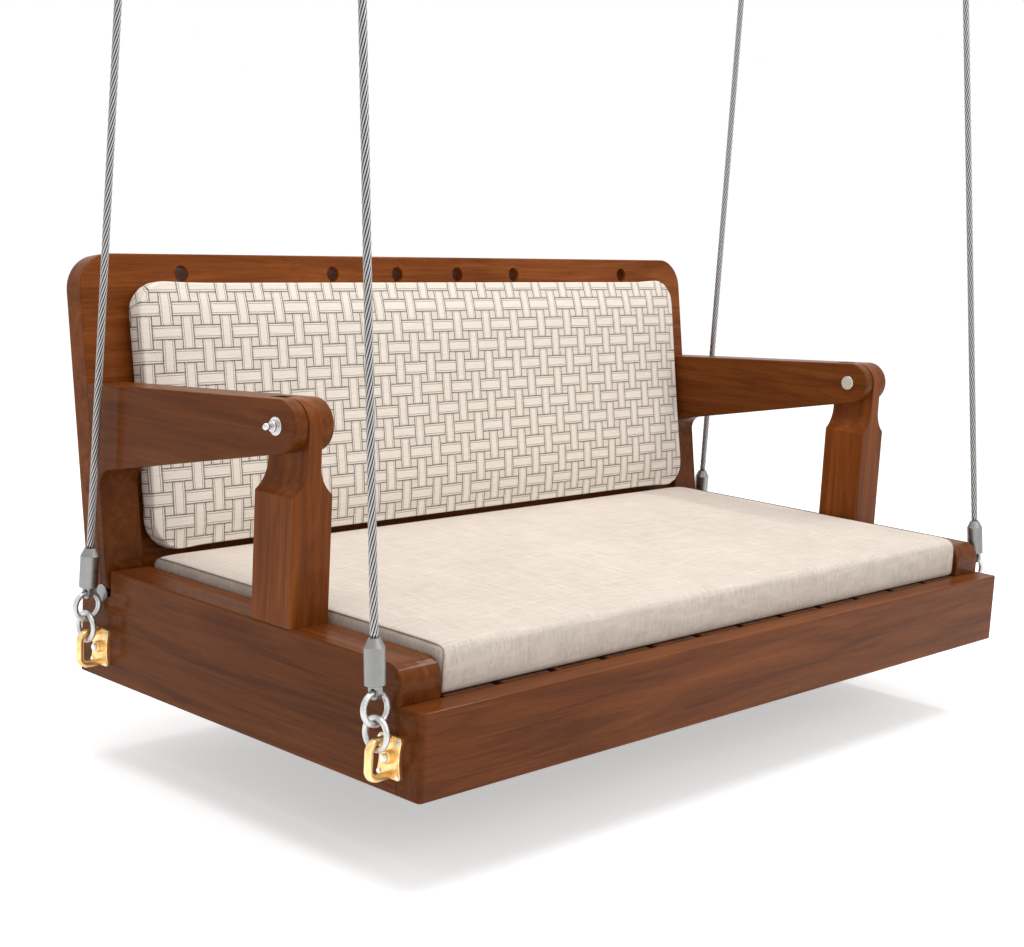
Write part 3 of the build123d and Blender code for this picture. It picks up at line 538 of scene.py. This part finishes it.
# ---- cushions --------------------------------------------------------------------------------
def swell(pad, cap, pressure=4.0, frames=20):
    """Blows a pad up under its cover, no point moving further than the cap."""
    before = points(pad)
    only(pad)
    cover = pad.modifiers.new("Cover", "CLOTH")
    cover.settings.quality = 4
    cover.settings.use_pressure = True
    cover.settings.uniform_pressure_force = pressure
    cover.settings.effector_weights.gravity = 0.0
    cover.collision_settings.use_collision = False
    cover.point_cache.frame_end = frames
    for step in range(1, frames + 1):
        scene.frame_set(step)
    seen = pad.evaluated_get(bpy.context.evaluated_depsgraph_get())
    after = np.zeros(len(before) * 3)
    seen.data.vertices.foreach_get("co", after)
    move = after.reshape(-1, 3) - before
    reach = np.maximum(np.linalg.norm(move, axis=1), 1e-9)
    pad.modifiers.remove(cover)
    scene.frame_set(1)
    set_points(pad, before + move * np.minimum(1.0, cap / reach)[:, None])


def block_of_cells(size, cell, layers):
    """A closed box of near-square faces, its foot at Z = 0."""
    along, across = (round(size[i] / cell) for i in (0, 1))
    pad = start(bpy.ops.mesh.primitive_grid_add, x_subdivisions=along, y_subdivisions=across, size=1.0)
    pad.scale = (size[0], size[1], 1)
    settle(pad)
    in_edit_mode(*[lambda: raise_faces(size[2] / layers)] * layers)
    in_edit_mode(face_out)
    return pad


def raise_faces(height):
    bpy.ops.mesh.extrude_region_move(TRANSFORM_OT_translate={"value": (0, 0, height)})


def tighten(values, half, near=0.0028, reach=0.03):
    """Draws the rows of points next to an edge close up to it, so the edge stays crisp."""
    gap = half - np.abs(values)
    drawn = near + (gap / reach) ** 1.6 * (reach - near)
    pulled = np.where(gap < 1e-6, 0.0, np.where(gap < reach, drawn, gap))
    return np.sign(values) * (half - pulled)


def roll(spots, half, radii):
    """Rounds the long edges of a box: radii for its foot and its top."""
    y, z = spots[:, 1], spots[:, 2]
    radius = np.where(z > 0, radii[1], radii[0])
    core_y = np.clip(y, -(half[1] - radius), half[1] - radius)
    core_z = np.clip(z, -(half[2] - radius), half[2] - radius)
    out_y, out_z = y - core_y, z - core_z
    far = np.maximum(np.hypot(out_y, out_z), 1e-9)
    corner = (np.abs(out_y) > 1e-9) & (np.abs(out_z) > 1e-9)
    spots[:, 1] = np.where(corner, core_y + out_y / far * radius, y)
    spots[:, 2] = np.where(corner, core_z + out_z / far * radius, z)


def mark(pad, name, chosen):
    group = pad.vertex_groups.new(name=name)
    group.add([int(i) for i in np.nonzero(chosen)[0]], 1.0, "REPLACE")


def marked(pad, name):
    index = pad.vertex_groups[name].index
    return np.array([any(g.group == index and g.weight > 0.99 for g in v.groups)
                     for v in pad.data.vertices])


def seam(pad, name, radius, finish):
    """A cord of cloth along the marked points of a pad."""
    chosen = marked(pad, name)
    only(pad)
    bpy.ops.object.mode_set(mode="EDIT")
    bpy.ops.mesh.select_all(action="DESELECT")
    bpy.ops.object.mode_set(mode="OBJECT")
    for edge in pad.data.edges:
        edge.select = bool(chosen[edge.vertices[0]] and chosen[edge.vertices[1]])
    bpy.ops.object.mode_set(mode="EDIT")
    bpy.ops.mesh.select_mode(type="EDGE")
    bpy.ops.mesh.duplicate()
    bpy.ops.mesh.separate(type="SELECTED")
    bpy.ops.object.mode_set(mode="OBJECT")
    line = next(piece for piece in bpy.context.selected_objects if piece is not pad)
    only(line)
    bpy.ops.object.convert(target="CURVE")
    line = bpy.context.object
    line.data.bevel_depth = radius
    line.data.bevel_resolution = 1
    bpy.ops.object.convert(target="MESH")
    line = bpy.context.object
    line.vertex_groups.clear()
    line.name = name
    bpy.ops.object.shade_smooth()
    paint(line, finish)
    return line


def stitches(name, spots, across, finish):
    """Short threads laid over a seam: one at each spot, pointing across it."""
    threads = []
    pattern = start(bpy.ops.mesh.primitive_cylinder_add, vertices=5, radius=STITCH_RADIUS,
                    depth=STITCH_LENGTH)
    settle(pattern)
    finish_modifier(pattern, "BEVEL", width=STITCH_RADIUS * 0.5, segments=1)
    for spot, lean in zip(spots, across):
        only(pattern)
        bpy.ops.object.duplicate()
        thread = bpy.context.object
        thread.location = spot
        thread.rotation_mode = "QUATERNION"
        thread.rotation_quaternion = Vector(lean).to_track_quat("Z", "Y")
        threads.append(thread)
    bpy.data.objects.remove(pattern)
    whole = join(threads, name)
    settle(whole)
    bpy.ops.object.shade_smooth()
    paint(whole, finish)
    return whole


def seat_cushion():
    low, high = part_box("seat_cushion")
    size = high - low
    middle = np.array((low + high) / 2)
    half = np.array(size) / 2 - SEAT_INSET
    pad = block_of_cells(2 * half, SEAT_CELL, SEAT_LAYERS)
    spots = points(pad) - [0, 0, half[2]]
    end = np.abs(spots[:, 0]) > half[0] - 1e-6
    rim = end & ((np.abs(spots[:, 1]) > half[1] - 1e-6) | (spots[:, 2] > half[2] - 1e-6))
    for side, sign in SIDES.items():
        mark(pad, f"seat_seam_{side}", rim & (spots[:, 0] * sign > 0))
    spots[:, 0] = tighten(spots[:, 0], half[0])
    roll(spots, half, SEAT_RADII)
    set_points(pad, spots)
    flat = points(pad)
    swell(pad, SEAT_SWELL)
    spots = points(pad)
    u, v, w = (flat / half).T
    crown = np.clip(1 - u ** 6, 0, 1) * np.clip(1 - v ** 4, 0, 1)
    swollen = spots - flat
    swollen[:, 0] *= SIDE_SHARE * np.clip(1 - v ** 8, 0, 1)
    swollen[:, 1] *= SIDE_SHARE
    swollen[:, 2] = np.where(w > 0, TOP_SHARE * swollen[:, 2], 0.0)
    spots = flat + swollen
    spots[:, 2] += np.where(w > 0, SEAT_CROWN * crown - SEAT_SINK, 0.0)
    # The seam lies in a shallow groove, and gathers the cover at the front corners.
    rim = np.array([marked(pad, f"seat_seam_{side}") for side in SIDES]).any(axis=0)
    spots[rim] -= np.sign(flat[rim]) * SEAM_GROOVE
    from_corner = np.linalg.norm(np.abs(flat) - half, axis=1) * (w > 0) + (w <= 0)
    pinch = np.exp(-(from_corner / PINCH_REACH) ** 2)
    spots -= np.sign(flat) * pinch[:, None] * PINCH_DEPTH
    set_points(pad, spots + middle)
    finish_modifier(pad, "SUBSURF", levels=1, render_levels=1)
    only(pad)
    bpy.ops.object.shade_smooth()
    pad.name = "seat_pad"
    paint(pad, "linen")
    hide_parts("seat_cushion")
    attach(pad, "seat")
    for side, sign in SIDES.items():
        cord = seam(pad, f"seat_seam_{side}", SEAM_RADIUS, "seam")
        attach(cord, "seat")
        line = points(pad)[marked(pad, f"seat_seam_{side}")]
        sew_end(line, side, sign)


def sew_end(line, side, sign):
    """Overcast threads along the seam round one end of the seat cushion."""
    front, back = line[:, 1].min(), line[:, 1].max()
    foot, top = line[:, 2].min(), line[:, 2].max()
    spots, across = [], []
    for z in np.arange(foot + 0.004, top - 0.010, STITCH_PITCH_UP):
        for y in (front, back):
            near = line[np.argmin(np.abs(line[:, 2] - z) + 9 * np.abs(line[:, 1] - y))]
            spots.append((near[0], near[1], z))
            across.append((sign * 0.75, -1.0 if y == front else 1.0, 0.45))
    for y in np.arange(front + 0.014, back - 0.014, STITCH_PITCH_ALONG):
        near = line[np.argmin(np.abs(line[:, 1] - y) + 9 * np.abs(line[:, 2] - top))]
        spots.append((near[0], y, near[2]))
        across.append((sign * 1.0, 0.45, 0.9))
    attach(stitches(f"seat_stitches_{side}", spots, across, "thread"), "seat")


def panel_frame():
    """From the panel's own frame, X along it, -Y out of its face and Z up it, to the model's."""
    return Matrix.Translation(PANEL_FOOT) @ Matrix.Rotation(-RECLINE, 4, "X")


def back_cushion():
    low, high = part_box("back_cushion")
    half = (high.x - low.x) / 2 - BACK_INSET
    low_z, high_z = BACK_FOOT / cos(RECLINE), BACK_HEAD / cos(RECLINE)
    middle_z = (low_z + high_z) / 2
    height = high_z - low_z
    pad = start(bpy.ops.mesh.primitive_plane_add, size=1.0)
    pad.scale = (2 * half, height, 1)
    settle(pad)
    in_edit_mode(lambda: bpy.ops.mesh.bevel(offset=BACK_CORNER, segments=10, affect="VERTICES"),
                 lambda: raise_faces(BACK_THICK))
    in_edit_mode(face_out)
    finish_modifier(pad, "BEVEL", width=BACK_EDGE, segments=3, limit_method="ANGLE",
                    angle_limit=radians(60))
    finish_modifier(pad, "REMESH", mode="VOXEL", voxel_size=BACK_VOXEL)
    swell(pad, BACK_SWELL)
    spots = points(pad)
    # Lay it up: its length stays, its width becomes height, its thickness faces the sitter.
    x, z, depth = spots.T
    x = x * half / np.abs(x).max()
    z = z * height / 2 / np.abs(z).max()
    u = np.abs(x) / half
    v = np.abs(z) / (height / 2)
    crown = np.clip(1 - u ** 8, 0, 1) * np.clip(1 - v ** 4, 0, 1)
    front = depth > BACK_THICK * 0.6
    puffed = np.maximum(depth, BACK_THICK) * 0.5 + BACK_THICK * 0.5 + BACK_CROWN * crown
    depth = np.clip(np.where(front, puffed, depth), *BACK_DEPTHS)
    local = np.stack([x, -depth, z + middle_z], axis=1)
    lay = np.array(panel_frame())
    set_points(pad, local @ lay[:3, :3].T + lay[:3, 3])
    in_edit_mode(face_out)
    finish_modifier(pad, "SUBSURF", levels=1, render_levels=1)
    print_map(pad, half, height / 2, middle_z)
    only(pad)
    bpy.ops.object.shade_smooth()
    pad.name = "back_pad"
    paint(pad, "print")
    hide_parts("back_cushion")
    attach(pad, "backrest")


def print_map(pad, half_x, half_z, middle_z):
    """Lays the print flat on the front and folds it round the sides."""
    back = np.array(panel_frame().inverted())
    local = points(pad) @ back[:3, :3].T + back[:3, 3]
    x, z = local[:, 0], local[:, 2] - middle_z
    past_x = np.maximum(np.abs(x) - (half_x - BACK_CORNER), 0)
    past_z = np.maximum(np.abs(z) - (half_z - BACK_CORNER), 0)
    reach = np.maximum(np.hypot(past_x, past_z), 1e-9)
    near = np.clip((reach - (BACK_CORNER - PRINT_RIM)) / PRINT_RIM, 0, 1)
    fold = np.clip(PRINT_FOLD_START + local[:, 1], 0, PRINT_FOLD_MOST) * near
    u = x + np.sign(x) * past_x / reach * fold
    v = z + np.sign(z) * past_z / reach * fold
    layer = pad.data.uv_layers.new(name="Print")
    corners = np.zeros(len(pad.data.loops), dtype=int)
    pad.data.loops.foreach_get("vertex_index", corners)
    layer.data.foreach_set("uv", np.stack([u[corners], v[corners]], axis=1).ravel())


seat_cushion()
back_cushion()


# ---- room ------------------------------------------------------------------------------------
def seen_directly(tree):
    """1 for rays from the camera and rays by way of gloss or glass, else 0."""
    path = tree.nodes.new("ShaderNodeLightPath")
    chosen = [path.outputs[name] for name in ("Is Camera Ray", "Is Glossy Ray", "Is Transmission Ray")]
    total = chosen[0]
    for other in chosen[1:]:
        most = tree.nodes.new("ShaderNodeMath")
        most.operation = "MAXIMUM"
        tree.links.new(total, most.inputs[0])
        tree.links.new(other, most.inputs[1])
        total = most.outputs[0]
    return total


def blend_by_ray(tree, lit, seen, output):
    """Puts one shader on bounced rays and another on the rays seen directly."""
    blend = tree.nodes.new("ShaderNodeMixShader")
    tree.links.new(seen_directly(tree), blend.inputs[0])
    tree.links.new(lit, blend.inputs[1])
    tree.links.new(seen, blend.inputs[2])
    tree.links.new(blend.outputs[0], tree.nodes[output].inputs["Surface"])


def white_room():
    world = bpy.data.worlds.new("Studio")
    scene.world = world
    world.use_nodes = True
    tree = world.node_tree
    tree.nodes["Background"].inputs["Color"].default_value = (1, 1, 1, 1)
    tree.nodes["Background"].inputs["Strength"].default_value = ROOM_LIGHT
    plain = tree.nodes.new("ShaderNodeBackground")
    plain.inputs["Color"].default_value = (1, 1, 1, 1)
    plain.inputs["Strength"].default_value = 1.0
    blend_by_ray(tree, tree.nodes["Background"].outputs[0], plain.outputs[0], "World Output")


def floor():
    ground = start(bpy.ops.mesh.primitive_plane_add, size=FLOOR_SIDE, location=(0, 0, FLOOR_Z))
    settle(ground)
    ground.name = "floor"
    pale = Finish("Pale floor", Base_Color=(0.9, 0.9, 0.9), Roughness=1.0, Specular_IOR_Level=0.0)
    tree = pale.material.node_tree
    glow = tree.nodes.new("ShaderNodeEmission")
    glow.inputs["Strength"].default_value = FLOOR_GLOW
    both = tree.nodes.new("ShaderNodeAddShader")
    tree.links.new(pale.shader.outputs[0], both.inputs[0])
    tree.links.new(glow.outputs[0], both.inputs[1])
    blend_by_ray(tree, pale.shader.outputs[0], both.outputs[0], "Material Output")
    ground.data.materials.append(pale.material)


def softbox(name, spot, aim, size, watts):
    lamp = bpy.data.lights.new(name, "AREA")
    lamp.shape = "RECTANGLE"
    lamp.size, lamp.size_y = size
    lamp.energy = watts
    holder = bpy.data.objects.new(name, lamp)
    holder.location = spot
    holder.rotation_euler = (Vector(aim) - Vector(spot)).to_track_quat("-Z", "Y").to_euler()
    scene.collection.objects.link(holder)


white_room()
floor()
softbox("Top light", spot=(-0.5, -0.1, 2.4), aim=(0, 0, -1.2), size=(3.2, 2.4), watts=92)
softbox("Edge light", spot=(2.8, -0.55, 2.4), aim=(0, -0.4, -1.2), size=(2.4, 0.35), watts=44)
softbox("Front light", spot=(0.4, -4.4, 1.4), aim=(0, 0, -1.1), size=(2.6, 2.0), watts=40)

# ---- camera ----------------------------------------------------------------------------------
CAMERA_SPOT = Vector((-2.32043, -2.01533, -0.59857))
CAMERA_YAW, CAMERA_PITCH, CAMERA_ROLL = 0.813878, 0.159900, 0.053547
SENSOR_WIDTH = 36.0
FRAME_WIDTH, FOCAL_LENGTH = 1024, 1763.459    # both in pixels of the frame
camera = bpy.data.objects.new("Camera", bpy.data.cameras.new("Camera"))
scene.collection.objects.link(camera)
camera.data.sensor_fit = "HORIZONTAL"
camera.data.sensor_width = SENSOR_WIDTH
camera.data.lens = FOCAL_LENGTH / FRAME_WIDTH * SENSOR_WIDTH
camera.matrix_world = (Matrix.Translation(CAMERA_SPOT) @ Matrix.Rotation(-CAMERA_YAW, 4, "Z")
                       @ Matrix.Rotation(pi / 2 - CAMERA_PITCH, 4, "X")
                       @ Matrix.Rotation(CAMERA_ROLL, 4, "Z"))
scene.camera = camera
scene.view_settings.view_transform = "Standard"
